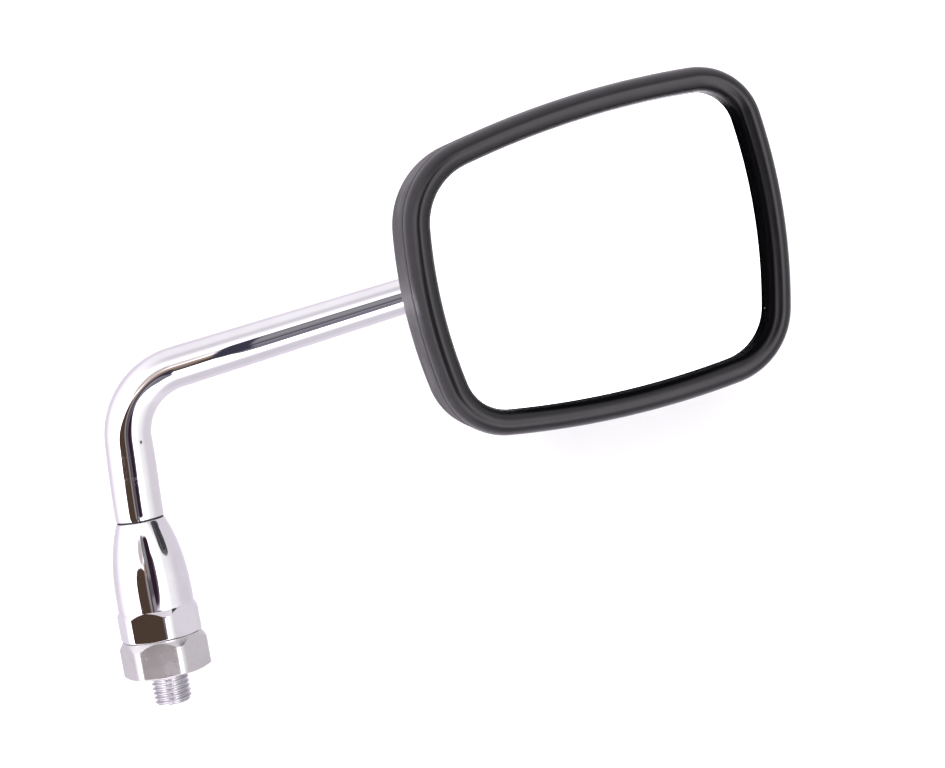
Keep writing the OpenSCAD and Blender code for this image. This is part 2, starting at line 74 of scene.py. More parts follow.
def softenedLine(points, radii, steps=4):
    # rounds the corners of an open line of (radius, height) points
    out = [points[0]]
    for before, corner, after, radius in zip(points, points[1:], points[2:], radii[1:]):
        a, b, c = Vector(before), Vector(corner), Vector(after)
        u, v = a - b, c - b
        reach = min(u.length, v.length) * 0.45
        u.normalize(), v.normalize()
        half = math.acos(max(-0.9999, min(0.9999, u.dot(v)))) / 2
        cut = min(radius / math.tan(half), reach)
        for k in range(steps + 1):
            t = k / steps
            out.append(tuple((1 - t) ** 2 * (b + u * cut) + 2 * t * (1 - t) * b + t * t * (b + v * cut)))
    return out + [points[-1]]


def hexAngles(turn=0.0):
    # close together at the six corners, wider on the flats
    half = [0, 1.2, 2.4, 3.6, 4.8, 6, 7.2, 8.4, 9.6, 12, 16, 20, 24, 27]
    face = half + [30] + [60 - a for a in reversed(half[1:])]
    return [math.radians(60 * i + a + turn) for i in range(6) for a in face]


def hexRadius(angle, turn, across, rounding):
    # distance from the middle to a hexagon with rounded corners; a corner lies at the turn angle
    off = (math.degrees(angle) - turn) % 60 - 30
    off = math.radians(abs(off))
    apothem = across / 2
    flatEnd = (apothem - rounding) * math.tan(math.radians(30))
    if apothem * math.tan(off) <= flatEnd:
        return apothem / math.cos(off)
    cx, cy = apothem - rounding, flatEnd
    along = cx * math.cos(off) + cy * math.sin(off)
    return along + math.sqrt(max(0.0, along ** 2 - cx ** 2 - cy ** 2 + rounding ** 2))


def polarPiece(name, angles, profileAt, body, stands=()):
    verts = []
    for a in angles:
        for r, z in profileAt(a):
            verts.append((r * math.cos(a), r * math.sin(a), z))
    count = len(verts) // len(angles)
    return addPiece(name, verts, gridFaces(len(angles), count, closeRows=True, closeColumns=False),
                    body, stands)


# adapter with its threaded stud

adapterSizes = {
    "across": 21.4, "height": 9.8, "floor": 2.6, "topChamfer": 56.0, "footChamfer": 20.0, "faceRadius": 10.5,
    "bore": 5.06, "cornerRounding": 3.2, "arrisRounding": 0.12,
    "threadRadius": 5.0, "rootRadius": 4.23, "pitch": 1.25, "studLength": 8.5, "endChamfer": 0.8,
}


def hexSide(r, low, high, sizes):
    # the upright side at radius r between the two turned chamfers, with rows that keep the flat flat
    top = high - (r - sizes["faceRadius"]) * math.tan(math.radians(sizes["topChamfer"]))
    foot = low + (r - sizes["faceRadius"]) * math.tan(math.radians(sizes["footChamfer"]))
    return [(r, top), (r, top - 0.3), (r, foot + 0.3), (r, foot)]


def makeAdapter():
    s = adapterSizes

    def profile(a):
        r = hexRadius(a, 0, s["across"], s["cornerRounding"])
        line = [(0, s["floor"]), (s["bore"], s["floor"]), (s["bore"], s["height"]),
                (s["faceRadius"], s["height"]), *hexSide(r, 0, s["height"], s), (s["faceRadius"], 0), (0, 0)]
        e = s["arrisRounding"]
        return softenedLine(line, [0, 0.05, 0.3, 0.1, e, 0, 0, e, 0.1, 0])

    body = polarPiece("adapterHex", hexAngles(), profile, "mount", ["adapter"])
    verts, turns = [], 108
    stations = [(0, 1), (0.06, 1), (0.1, 0.94), (0.2, 0.64), (0.3, 0.3), (0.37, 0.09), (0.43, 0.01), (0.5, 0),
                (0.57, 0.01), (0.63, 0.09), (0.7, 0.3), (0.8, 0.64), (0.9, 0.94), (0.94, 1)]
    low, high = -s["studLength"], 0.4
    windings = int((high - low) / s["pitch"]) + 3
    for i in range(turns):
        a = 2 * math.pi * i / turns
        for k in range(windings):
            for share, height in stations:
                z = low + s["pitch"] * (k - 1 + share + i / turns)
                r = s["rootRadius"] + (s["threadRadius"] - s["rootRadius"]) * height
                z = max(low, min(high, z))
                r = min(r, s["threadRadius"] - s["endChamfer"] + (z - low))  # lead-in cone at the tip
                verts.append((r * math.cos(a), r * math.sin(a), z))
    count = windings * len(stations)
    # each turn joins the next one a pitch higher, so the seam column shifts by one winding
    faces = []
    for i in range(turns):
        for j in range(count - 1):
            a, b = i * count + j, (i + 1) * count + j
            if i == turns - 1:
                b = j + len(stations)
                if b + 1 >= count:
                    continue
            faces.append((a, b, b + 1, a + 1))
    tip = len(verts)
    verts.append((0, 0, low))
    for i in range(turns):
        faces.append((i * count, tip, (i + 1) % turns * count))
    thread = addPiece("adapterThread", verts, faces, "mount", sharp=50)
    return body, thread


# taper nut

nutSizes = {
    "across": 20.4, "low": 9.8, "hexHeight": 8.4, "bellHeight": 23.4, "bellPower": 2.6, "topRadius": 6.5,
    "turn": -10, "bore": 5.06, "topChamfer": 56.0, "footChamfer": 20.0, "faceRadius": 10.0,
    "cornerRounding": 3.2, "arrisRounding": 0.12, "bellRows": 72,
}


def bellRadius(t):
    s = nutSizes
    return s["topRadius"] + (s["across"] / 2 - s["topRadius"]) * (1 - (1 - t) ** s["bellPower"])


def makeTaperNut():
    s = nutSizes
    shoulder = s["low"] + s["hexHeight"]
    seam = shoulder + s["bellHeight"]
    rows = s["bellRows"]

    def profile(a):
        r = hexRadius(a, s["turn"], s["across"], s["cornerRounding"])
        join = shoulder - (bellRadius(1) - s["faceRadius"]) * math.tan(math.radians(s["topChamfer"]))
        e = s["arrisRounding"]
        top = softenedLine([(s["bore"], s["low"]), (s["bore"], seam), (s["topRadius"], seam),
                            (bellRadius(1 / rows), seam - s["bellHeight"] / rows)], [0, 0.3, 0.3, 0])
        bell = [(bellRadius(i / rows), seam - s["bellHeight"] * i / rows) for i in range(2, rows)]
        low = softenedLine([(bellRadius(1), join + 0.3), (bellRadius(1), join),
                            *hexSide(r, s["low"], shoulder, s), (s["faceRadius"], s["low"]),
                            (s["bore"], s["low"])], [0, 0.1, e, 0, 0, e, 0.1, 0])
        return top + bell + low

    return polarPiece("taperNut", hexAngles(s["turn"]), profile, "mount", ["taper_nut"])


# stem

stemSizes = {
    "footZ": 42.0, "footLean": 2.4, "leanLength": 6.0, "footLength": 21.0, "bendRadius": 18.4,
    "armAngle": 82.4, "armLength": 94.1, "tipBendRadius": 13.0, "tipLength": 2.5, "neckLength": 11.0,
    "footRadius": 6.5, "midRadius": 5.6, "tipRadius": 4.2, "wall": 1.5, "sides": 96,
}
# the head's sizes stand here because the stem's tip points along the head
headSizes = {
    "pan": 12.0, "tilt": 0.4, "roll": 4.0, "shift": (0.0, -0.9), "glassFront": 22.5, "glassThickness": 2.6,
    "lipOverlap": 2.0, "rimWidth": 6.2, "wallHeight": 2.3, "beadRadius": 3.2, "rimDrop": 6.0, "lipFlare": 0.2,
    "seamChamfer": 0.4, "shellWall": 2.4, "shellProud": 0.1, "sideHeight": 13.6, "sideDraft": 0.4,
    "shellBack": 9.4, "domePower": 2.6, "openingRadius": 8.6, "collarHeight": 1.0, "toeZ": 16.9,
    "backingZ": 18.4, "toeOverlap": 1.2, "ledgeWidth": 1.7, "ledgeThickness": 1.5,
    "corners": ((-29.6, -21.3, 11.0), (25.4, -20.7, 13.6), (32.0, 22.4, 10.0), (-24.9, 13.1, 15.6)),
    "crowns": (222, 139, 226, 124),
}


def xzWay(degrees):
    a = math.radians(degrees)
    return Vector((math.sin(a), 0, math.cos(a)))


def xzTurn(point, a0, a1, radius):
    a0, a1 = math.radians(a0), math.radians(a1)
    return point + radius * Vector((math.cos(a0) - math.cos(a1), 0, math.sin(a1) - math.sin(a0)))


def headWay():
    pan, tilt = math.radians(headSizes["pan"]), math.radians(headSizes["tilt"])
    return Vector((math.sin(pan) * math.cos(tilt), -math.cos(pan) * math.cos(tilt), math.sin(tilt)))


def stemLine():
    # points, directions and lengths along the stem's centreline, and the ball's centre
    s = stemSizes
    leanRadius = s["leanLength"] / math.radians(s["footLean"])
    flat = Vector((0, 1, 0))
    p0 = Vector((0, 0, s["footZ"]))
    p1 = xzTurn(p0, 0, s["footLean"], leanRadius)
    p2 = p1 + (s["footLength"] - s["leanLength"]) * xzWay(s["footLean"])
    p3 = xzTurn(p2, s["footLean"], s["armAngle"], s["bendRadius"])
    arm = xzWay(s["armAngle"])
    p4 = p3 + s["armLength"] * arm
    way = headWay()
    side = (way - way.dot(arm) * arm).normalized()
    tipAngle = math.acos(way.dot(arm))
    bendEnd = s["footLength"] + s["bendRadius"] * math.radians(s["armAngle"] - s["footLean"])
    stations = []
    for i in range(9):
        a = s["footLean"] * i / 8
        stations.append((xzTurn(p0, 0, a, leanRadius), xzWay(a), flat, s["leanLength"] * i / 8))
    for i in range(1, 6):
        stations.append((p1.lerp(p2, i / 6), xzWay(s["footLean"]), flat,
                         s["leanLength"] + (s["footLength"] - s["leanLength"]) * i / 6))
    for i in range(65):
        a = s["footLean"] + (s["armAngle"] - s["footLean"]) * i / 64
        stations.append((xzTurn(p2, s["footLean"], a, s["bendRadius"]), xzWay(a), flat,
                         s["footLength"] + s["bendRadius"] * math.radians(a - s["footLean"])))
    for i in range(1, 25):
        stations.append((p3.lerp(p4, i / 24), arm, flat, bendEnd + s["armLength"] * i / 24))
    sideUp = side.cross(arm)
    for i in range(1, 37):
        a = tipAngle * i / 36
        place = p4 + s["tipBendRadius"] * (math.sin(a) * arm + (1 - math.cos(a)) * side)
        ahead = math.cos(a) * arm + math.sin(a) * side
        stations.append((place, ahead, sideUp.cross(ahead),
                         bendEnd + s["armLength"] + s["tipBendRadius"] * a))
    tipEnd = stations[-1][3]
    p6 = stations[-1][0] + s["tipLength"] * way
    stations.append((p6, way, sideUp.cross(way), tipEnd + s["tipLength"]))
    breaks = [(0, s["footRadius"]), (s["footLength"] * 0.7, s["footRadius"]), (bendEnd, s["midRadius"]),
              (tipEnd, s["tipRadius"]), (tipEnd + 50, s["tipRadius"])]
    return stations, breaks, p6 + s["neckLength"] * way


def alongTable(table, x):
    for (x0, y0), (x1, y1) in zip(table, table[1:]):
        if x <= x1:
            return y0 + (y1 - y0) * (x - x0) / (x1 - x0)
    return table[-1][1]


stations, stemBreaks, ballCentre = stemLine()


def makeStem():
    s = stemSizes
    sides = s["sides"]
    rings = []

    def ring(station, radius, shift=0.0):
        place, ahead, e1 = station[0] + shift * station[1], station[1], station[2]
        e2 = ahead.cross(e1)
        around = [2 * math.pi * j / sides for j in range(sides)]
        return [place + radius * (math.cos(a) * e1 + math.sin(a) * e2) for a in around]

    first, last = stations[0], stations[-1]
    foot, tip = alongTable(stemBreaks, 0), alongTable(stemBreaks, last[3])
    for inset, shift in ((0.35, 0), (0.18, 0.04), (0.06, 0.14)):
        rings.append(ring(first, foot - inset, shift))
    for station in stations[1:-1]:
        rings.append(ring(station, alongTable(stemBreaks, station[3])))
    for inset, shift in ((0.0, -0.3), (0.08, -0.1), (0.25, 0)):
        rings.append(ring(last, tip - inset, shift))
    rings.append(ring(last, tip - s["wall"]))
    for station in reversed(stations[1:-1]):
        rings.append(ring(station, alongTable(stemBreaks, station[3]) - s["wall"]))
    rings.append(ring(first, foot - s["wall"]))
    verts = [v for r in rings for v in r]
    faces = gridFaces(len(rings), sides, closeRows=True)
    return addPiece("stemTube", verts, faces, "stem", ["stem_tube"])


# head

headPlace = (Matrix.Translation(ballCentre)
             @ Matrix.Rotation(math.radians(headSizes["pan"]), 4, "Z")
             @ Matrix.Rotation(math.radians(-headSizes["tilt"]), 4, "X")
             @ Matrix.Rotation(math.radians(90), 4, "X")
             @ Matrix.Rotation(math.radians(headSizes["roll"]), 4, "Z"))
outlinePlace = headPlace @ Matrix.Translation((*headSizes["shift"], 0))


def outlineArcs():
    # four corners and four crowned edges that run into them smoothly: centre, radius, start, sweep
    corners, crowns = headSizes["corners"], headSizes["crowns"]
    middles = []
    for i in range(4):
        a, b = Vector(corners[i][:2]), Vector(corners[(i + 1) % 4][:2])
        length = (b - a).length
        e = (b - a) / length
        ra, rb = crowns[i] - corners[i][2], crowns[i] - corners[(i + 1) % 4][2]
        m = (ra * ra - rb * rb + length * length) / (2 * length)
        middles.append(a + m * e + math.sqrt(ra * ra - m * m) * Vector((-e[1], e[0])))
    arcs = []
    for i in range(4):
        j = (i + 1) % 4
        corner, here, there = Vector(corners[j][:2]), middles[i], middles[j]
        a0 = math.atan2(corners[i][1] - here[1], corners[i][0] - here[0])
        a1 = math.atan2(corner[1] - here[1], corner[0] - here[0])
        a2 = math.atan2(corner[1] - there[1], corner[0] - there[0])
        arcs.append((here, crowns[i], a0, (a1 - a0) % (2 * math.pi)))
        arcs.append((corner, corners[j][2], a1, (a2 - a1) % (2 * math.pi)))
    return arcs


headArcs = outlineArcs()


def outline(outside, crownSteps=22, cornerSteps=30):
    points = []
    for k, (middle, radius, start, turn) in enumerate(headArcs):
        steps = cornerSteps if k % 2 else crownSteps
        for i in range(steps):
            a = start + turn * i / steps
            points.append(middle + (radius + outside) * Vector((math.cos(a), math.sin(a))))
    return points


def headSkin(name, rings, stands, loop=True, caps=False, sharp=32):
    count = len(rings[0])
    verts = [outlinePlace @ Vector(v) for r in rings for v in r]
    faces = gridFaces(len(rings), count, closeRows=loop)
    if caps:
        faces += [tuple(range(count)), tuple(range((len(rings) - 1) * count, len(rings) * count))]
    return addPiece(name, verts, faces, "head", stands, sharp)


def levelRing(outside, z):
    return [(p[0], p[1], z) for p in outline(outside)]


def makeRim():
    h = headSizes
    front, bead = h["glassFront"], h["beadRadius"]
    crest = front + h["wallHeight"] + bead
    seam = crest - h["rimDrop"]
    tongue = h["rimWidth"] + h["shellProud"] - h["shellWall"] - 0.05
    channel = h["lipOverlap"] + 0.05
    flare = h["lipFlare"]
    section = [(-flare, front), (-flare * 0.8, front + 0.25), (-flare * 0.5, front + 1.1)]
    for i in range(16):
        a = math.pi * (1 - 0.5 * i / 16)
        section.append((bead + bead * math.cos(a), front + h["wallHeight"] + bead * math.sin(a)))
    for i in range(29):
        a = math.pi / 2 * (1 - i / 28)
        section.append((bead + (h["rimWidth"] - bead) * math.cos(a),
                        seam + h["seamChamfer"] + (h["rimDrop"] - h["seamChamfer"]) * math.sin(a)))
    section += [(h["rimWidth"] - 0.1, seam + 0.12), (h["rimWidth"] - h["seamChamfer"], seam), (tongue, seam),
                (tongue, h["toeZ"]), (channel - h["toeOverlap"], h["toeZ"]),
                (channel - h["toeOverlap"], h["backingZ"]), (channel, h["backingZ"]), (channel, front)]
    rim = headSkin("rubberRim", [levelRing(p, z) for p, z in section], ["rubber_rim"])
    # painted shade on the wall beside the glass, on its right and lower sides: 1 there, 0 on the bead
    local = outlinePlace.inverted()
    bare = rim.data.attributes.new("paintedWallShade", "FLOAT", "POINT")
    for i, vert in enumerate(rim.data.vertices):
        q = local @ (vert.co / mm)
        n = local.to_3x3() @ rim.data.vertex_normals[i].vector
        inward = -(n[0] * q[0] + n[1] * q[1]) / max(1.0, math.hypot(q[0], q[1]))
        side = max(0.0, min(1.0, 0.6 + (q[0] * 0.8 - q[1]) / 30)) if q[2] > front - 0.1 else 0.0
        bare.data[i].value = max(0.0, min(1.0, (inward - 0.5) / 0.22)) * side
    return rim


def domeShare(x, y):
    # how far out a point lies on the dome, from 0 at its middle to 1 at its edge
    d = Vector((x, y)) - domeMiddle
    a = math.atan2(d[1], d[0])
    i = 0
    while i < len(domeReach) - 2 and domeReach[i + 1][0] < a:
        i += 1
    (a0, r0), (a1, r1) = domeReach[i], domeReach[i + 1]
    return d.length / (r0 + (r1 - r0) * (a - a0) / (a1 - a0))


domeMiddle = sum((Vector(c[:2]) for c in headSizes["corners"]), Vector((0, 0))) / 4
domeEdge = sorted((math.atan2(*(p - domeMiddle).yx), (p - domeMiddle).length)
                  for p in outline(headSizes["rimWidth"] + headSizes["shellProud"] - headSizes["sideDraft"]))
domeReach = [(domeEdge[-1][0] - 2 * math.pi, domeEdge[-1][1]), *domeEdge,
             (domeEdge[0][0] + 2 * math.pi, domeEdge[0][1])]


def makeShell():
    h = headSizes
    crest = h["glassFront"] + h["wallHeight"] + h["beadRadius"]
    seam = crest - h["rimDrop"]
    outside = h["rimWidth"] + h["shellProud"]
    inside = outside - h["shellWall"]
    base = seam - h["sideHeight"]
    power = h["domePower"]
    hole = Vector((-h["shift"][0], -h["shift"][1]))  # the opening is on the ball's axis

    def domeRing(p, depth, angle):
        share = math.sin(math.radians(angle)) ** (2 / power)
        drop = depth * math.cos(math.radians(angle)) ** (2 / power)
        return [(*(domeMiddle + share * (q - domeMiddle)), base - drop) for q in outline(p)]

    def holeRing(radius, z):
        around = []
        for q in outline(0):
            d = (q - hole).normalized()
            spot = hole + radius * d
            around.append((spot[0], spot[1], z))
        return around

    def towardsHole(ringFrom, ringTo, depth, steps):
        out = []
        for k in range(1, steps):
            t = k / steps
            row = []
            for a, b in zip(ringFrom, ringTo):
                x, y = a[0] + (b[0] - a[0]) * t, a[1] + (b[1] - a[1]) * t
                share = min(1.0, domeShare(x, y))
                row.append((x, y, base - depth * (1 - share ** power) ** (1 / power)))
            out.append(row)
        return out

    depth, back, opening = base + h["shellBack"], -h["shellBack"], h["openingRadius"]
    collarOut, collarZ = opening + 2.2, back - h["collarHeight"]
    latitudes = [90 - 4 * i for i in range(16)]
    outer = [domeRing(outside - h["sideDraft"], depth, a) for a in latitudes]
    innerDome = [domeRing(outside - h["sideDraft"] - h["shellWall"], depth - h["shellWall"], a)
                 for a in latitudes]
    rings = [levelRing(inside, seam), levelRing(outside - h["seamChamfer"], seam),
             levelRing(outside - 0.1, seam - 0.12), levelRing(outside, seam - h["seamChamfer"])]
    sideTop = seam - h["seamChamfer"]
    for i in range(1, 8):
        rings.append(levelRing(outside - h["sideDraft"] * i / 8, sideTop - (sideTop - base) * i / 8))
    rings += outer
    rings += towardsHole(outer[-1], holeRing(collarOut + 0.8, 0), depth, 10)
    rings += [holeRing(collarOut + 0.8, back - 0.02), holeRing(collarOut + 0.3, back - 0.08),
              holeRing(collarOut, back - 0.35), holeRing(collarOut - 0.05, collarZ + 0.2),
              holeRing(collarOut - 0.35, collarZ), holeRing(opening + 0.4, collarZ),
              holeRing(opening, collarZ + 0.35), holeRing(opening, back + h["shellWall"])]
    innerHole = holeRing(opening + 0.6, 0)
    rings += list(reversed(towardsHole(innerDome[-1], innerHole, depth - h["shellWall"], 8)))
    rings += list(reversed(innerDome))
    ledge, under = h["toeZ"] - h["ledgeThickness"], h["toeZ"] - h["ledgeThickness"] - h["ledgeWidth"]
    rings += [levelRing(inside, under), levelRing(inside - h["ledgeWidth"], ledge),
              levelRing(inside - h["ledgeWidth"], h["toeZ"]), levelRing(inside, h["toeZ"])]
    return headSkin("backShell", rings, ["back_shell"])


def makeGlass():
    h = headSizes
    edge, front, back = h["lipOverlap"], h["glassFront"], h["glassFront"] - h["glassThickness"]
    rings = [levelRing(edge - 0.3, front), levelRing(edge, front - 0.3), levelRing(edge, back + 0.3),
             levelRing(edge - 0.3, back)]
    return headSkin("mirrorGlass", rings, ["mirror_glass"], loop=False, caps=True, sharp=20)


adapterHex, adapterThread = makeAdapter()
taperNut = makeTaperNut()
stemTube = makeStem()
rubberRim = makeRim()
backShell = makeShell()
mirrorGlass = makeGlass()
print("shapes: adapter, taper nut, stem, rim, shell and glass built")


# finishes

def makeGroup(name, inputs, outputs):
    group = bpy.data.node_groups.new(name, "ShaderNodeTree")
    for label, kind, value in inputs:
        socket = group.interface.new_socket(name=label, in_out="INPUT", socket_type=kind)
        socket.default_value = value
    for label, kind in outputs:
        group.interface.new_socket(name=label, in_out="OUTPUT", socket_type=kind)
    return group, group.nodes.new("NodeGroupInput"), group.nodes.new("NodeGroupOutput")


def node(tree, kind, **values):
    made = tree.nodes.new(kind)
    for key, value in values.items():
        setattr(made, key, value)
    return made


def setOrLink(tree, socket, value):
    if isinstance(value, (int, float)):
        socket.default_value = value
    else:
        tree.links.new(value, socket)


def mathNode(tree, operation, *values):
    made = node(tree, "ShaderNodeMath", operation=operation)
    for socket, value in zip(made.inputs, values):
        setOrLink(tree, socket, value)
    return made.outputs[0]


def rangeNode(tree, value, low, high, toLow=0.0, toHigh=1.0):
    made = node(tree, "ShaderNodeMapRange", interpolation_type="SMOOTHSTEP", clamp=True)
    for socket, given in zip(made.inputs[:5], (value, low, high, toLow, toHigh)):
        setOrLink(tree, socket, given)
    return made.outputs[0]


def noiseNode(tree, vector, scale, detail=3.0, roughness=0.55):
    made = node(tree, "ShaderNodeTexNoise")
    tree.links.new(vector, made.inputs["Vector"])
    for label, value in (("Scale", scale), ("Detail", detail), ("Roughness", roughness)):
        setOrLink(tree, made.inputs[label], value)
    return made.outputs[0]


def makePolishScratches():
    # hairlines left by wiping, in two directions
    group, given, out = makeGroup("polishScratches",
                                  [("Scale", "NodeSocketFloat", 400.0), ("Amount", "NodeSocketFloat", 0.3)],
                                  [("Mask", "NodeSocketFloat"), ("Height", "NodeSocketFloat")])
    place = node(group, "ShaderNodeTexCoord").outputs["Object"]
    lines = []
    for turn, stretch in ((0.35, (1.0, 1.0, 0.035)), (-0.9, (0.05, 1.0, 1.0))):
        mapping = node(group, "ShaderNodeMapping")
        mapping.inputs["Rotation"].default_value = (0.2, turn, 0.4)
        mapping.inputs["Scale"].default_value = stretch
        group.links.new(place, mapping.inputs["Vector"])
        value = noiseNode(group, mapping.outputs[0], given.outputs["Scale"], 2.0)
        lines.append(rangeNode(group, value, 0.62, 0.72))
    mask = mathNode(group, "MAXIMUM", *lines)
    broken = rangeNode(group, noiseNode(group, place, 90.0), 0.42, 0.62)
    mask = mathNode(group, "MULTIPLY", mathNode(group, "MULTIPLY", mask, broken), given.outputs["Amount"])
    group.links.new(mask, out.inputs["Mask"])
    group.links.new(mathNode(group, "MULTIPLY", mask, -1.0), out.inputs["Height"])
    return group


def makeHandSmears():
    # soft cloudy film from handling, for roughness and tint
    group, given, out = makeGroup("handSmears",
                                  [("Scale", "NodeSocketFloat", 60.0), ("Low", "NodeSocketFloat", 0.03),
                                   ("High", "NodeSocketFloat", 0.09)],
                                  [("Value", "NodeSocketFloat"), ("Mask", "NodeSocketFloat")])
    place = node(group, "ShaderNodeTexCoord").outputs["Object"]
    cloud = rangeNode(group, noiseNode(group, place, given.outputs["Scale"], 4.0, 0.6), 0.38, 0.68)
    spread = mathNode(group, "SUBTRACT", given.outputs["High"], given.outputs["Low"])
    value = mathNode(group, "ADD", given.outputs["Low"], mathNode(group, "MULTIPLY", cloud, spread))
    group.links.new(value, out.inputs["Value"])
    group.links.new(cloud, out.inputs["Mask"])
    return group


def makeDustSpecks():
    # a few pale motes, each in its own cell
    group, given, out = makeGroup("dustSpecks",
                                  [("Scale", "NodeSocketFloat", 300.0), ("Share", "NodeSocketFloat", 0.1),
                                   ("Size", "NodeSocketFloat", 0.12)],
                                  [("Mask", "NodeSocketFloat")])
    place = node(group, "ShaderNodeTexCoord").outputs["Object"]
    cells = node(group, "ShaderNodeTexVoronoi")
    group.links.new(place, cells.inputs["Vector"])
    group.links.new(given.outputs["Scale"], cells.inputs["Scale"])
    split = node(group, "ShaderNodeSeparateColor")
    group.links.new(cells.outputs["Color"], split.inputs[0])
    chosen = mathNode(group, "LESS_THAN", split.outputs[0], given.outputs["Share"])
    size = mathNode(group, "MULTIPLY", given.outputs["Size"], mathNode(group, "ADD", split.outputs[1], 0.35))
    near = mathNode(group, "LESS_THAN", cells.outputs["Distance"], size)
    group.links.new(mathNode(group, "MULTIPLY", chosen, near), out.inputs["Mask"])
    return group


def makeMouldGrain():
    # fine pebbled skin of moulded rubber and plastic
    group, given, out = makeGroup("mouldGrain",
                                  [("Scale", "NodeSocketFloat", 2500.0),
                                   ("Mottle", "NodeSocketFloat", 120.0)],
                                  [("Height", "NodeSocketFloat"), ("Shade", "NodeSocketFloat")])
    place = node(group, "ShaderNodeTexCoord").outputs["Object"]
    fine = noiseNode(group, place, given.outputs["Scale"], 4.0, 0.65)
    cells = node(group, "ShaderNodeTexVoronoi", feature="SMOOTH_F1")
    group.links.new(place, cells.inputs["Vector"])
    group.links.new(given.outputs["Scale"], cells.inputs["Scale"])
    pebbles = mathNode(group, "MULTIPLY", cells.outputs["Distance"], 0.6)
    group.links.new(mathNode(group, "ADD", fine, pebbles), out.inputs["Height"])
    mottle = noiseNode(group, place, given.outputs["Mottle"], 5.0, 0.6)
    group.links.new(rangeNode(group, mottle, 0.3, 0.7), out.inputs["Shade"])
    return group


def makeEdgeWear():
    # brighter or rubbed arrises, broken up by noise
    group, given, out = makeGroup("edgeWear",
                                  [("From", "NodeSocketFloat", 0.52), ("To", "NodeSocketFloat", 0.6),
                                   ("Breakup", "NodeSocketFloat", 300.0)],
                                  [("Mask", "NodeSocketFloat")])
    place = node(group, "ShaderNodeTexCoord").outputs["Object"]
    edges = node(group, "ShaderNodeNewGeometry").outputs["Pointiness"]
    sharp = rangeNode(group, edges, given.outputs["From"], given.outputs["To"])
    broken = rangeNode(group, noiseNode(group, place, given.outputs["Breakup"], 4.0, 0.6), 0.35, 0.6)
    group.links.new(mathNode(group, "MULTIPLY", sharp, broken), out.inputs["Mask"])
    return group


polishScratches, handSmears, dustSpecks = makePolishScratches(), makeHandSmears(), makeDustSpecks()
mouldGrain, edgeWear = makeMouldGrain(), makeEdgeWear()


def startMaterial(name, colour, **sockets):
    made = bpy.data.materials.new(name)
    made.use_nodes = True
    made.diffuse_color = (*colour, 1)
    tree = made.node_tree
    shader = tree.nodes["Principled BSDF"]
    shader.inputs["Base Color"].default_value = (*colour, 1)
    for label, value in sockets.items():
        shader.inputs[label].default_value = value
    return made, tree, shader


def effect(tree, group, **values):
    made = node(tree, "ShaderNodeGroup", node_tree=group)
    for label, value in values.items():
        made.inputs[label].default_value = value
    return made


def mixColours(tree, factor, a, b):
    made = node(tree, "ShaderNodeMix", data_type="RGBA")
    for socket, value in zip((made.inputs[0], made.inputs[6], made.inputs[7]), (factor, a, b)):
        if isinstance(value, tuple):
            socket.default_value = (*value, 1)
        else:
            tree.links.new(value, socket)
    return made.outputs[2]


def addBump(tree, shader, height, strength, distance):
    bump = node(tree, "ShaderNodeBump")
    bump.inputs["Strength"].default_value = strength
    bump.inputs["Distance"].default_value = distance
    tree.links.new(height, bump.inputs["Height"])
    tree.links.new(bump.outputs[0], shader.inputs["Normal"])


def specksOn(tree, look):
    scale, share, size = look["specks"]
    return effect(tree, dustSpecks, Scale=scale, Share=share, Size=size).outputs["Mask"]


def grainOn(tree, shader, look):
    # adds the skin's bump and gives back its mottled shade
    grain = effect(tree, mouldGrain, Scale=look["grainScale"], Mottle=look["mottle"])
    addBump(tree, shader, grain.outputs["Height"], look["bump"], look["bumpDepth"])
    return grain.outputs["Shade"]


def metalFinish(name, colour, stain, low, high, scratches, smearScale=60.0, bump=0.02):
    made, tree, shader = startMaterial(name, colour, Metallic=1.0)
    smears = effect(tree, handSmears, Scale=smearScale, Low=low, High=high)
    lines = effect(tree, polishScratches, Amount=scratches)
    rubbed = mathNode(tree, "MULTIPLY", lines.outputs["Mask"], 0.25)
    tree.links.new(mathNode(tree, "ADD", smears.outputs["Value"], rubbed), shader.inputs["Roughness"])
    tree.links.new(mixColours(tree, smears.outputs["Mask"], colour, stain), shader.inputs["Base Color"])
    addBump(tree, shader, lines.outputs["Height"], bump, 0.00002)
    return made


chromeLook = {"colour": (0.93, 0.925, 0.94), "stain": (0.88, 0.87, 0.89), "low": 0.015, "high": 0.05,
              "scratches": 0.35}
nutLook = {"colour": (0.92, 0.91, 0.93), "stain": (0.86, 0.85, 0.88), "low": 0.02, "high": 0.07,
           "scratches": 0.5, "smearScale": 110.0}
satinLook = {"colour": (0.74, 0.735, 0.725), "stain": (0.7, 0.695, 0.69), "low": 0.24, "high": 0.28,
             "scratches": 0.12, "smearScale": 260.0, "bump": 0.01}
zincLook = {"colour": (0.66, 0.66, 0.68), "stain": (0.56, 0.555, 0.58), "low": 0.2, "high": 0.28,
            "scratches": 0.2, "smearScale": 240.0, "bump": 0.03}
steelLook = {"colour": (0.5, 0.5, 0.52), "stain": (0.3, 0.29, 0.28), "low": 0.26, "high": 0.42,
             "scratches": 0.7, "smearScale": 150.0, "bump": 0.15}
springLook = {"colour": (0.32, 0.32, 0.34), "stain": (0.2, 0.19, 0.19), "low": 0.25, "high": 0.4,
              "scratches": 0.5, "smearScale": 400.0, "bump": 0.1}
chrome = metalFinish("chromePlate", **chromeLook)
nutChrome = metalFinish("nutChrome", **nutLook)
satin = metalFinish("satinZinc", **satinLook)
zinc = metalFinish("zincThread", **zincLook)
steel = metalFinish("zincedSteel", **steelLook)
springSteel = metalFinish("springSteel", **springLook)
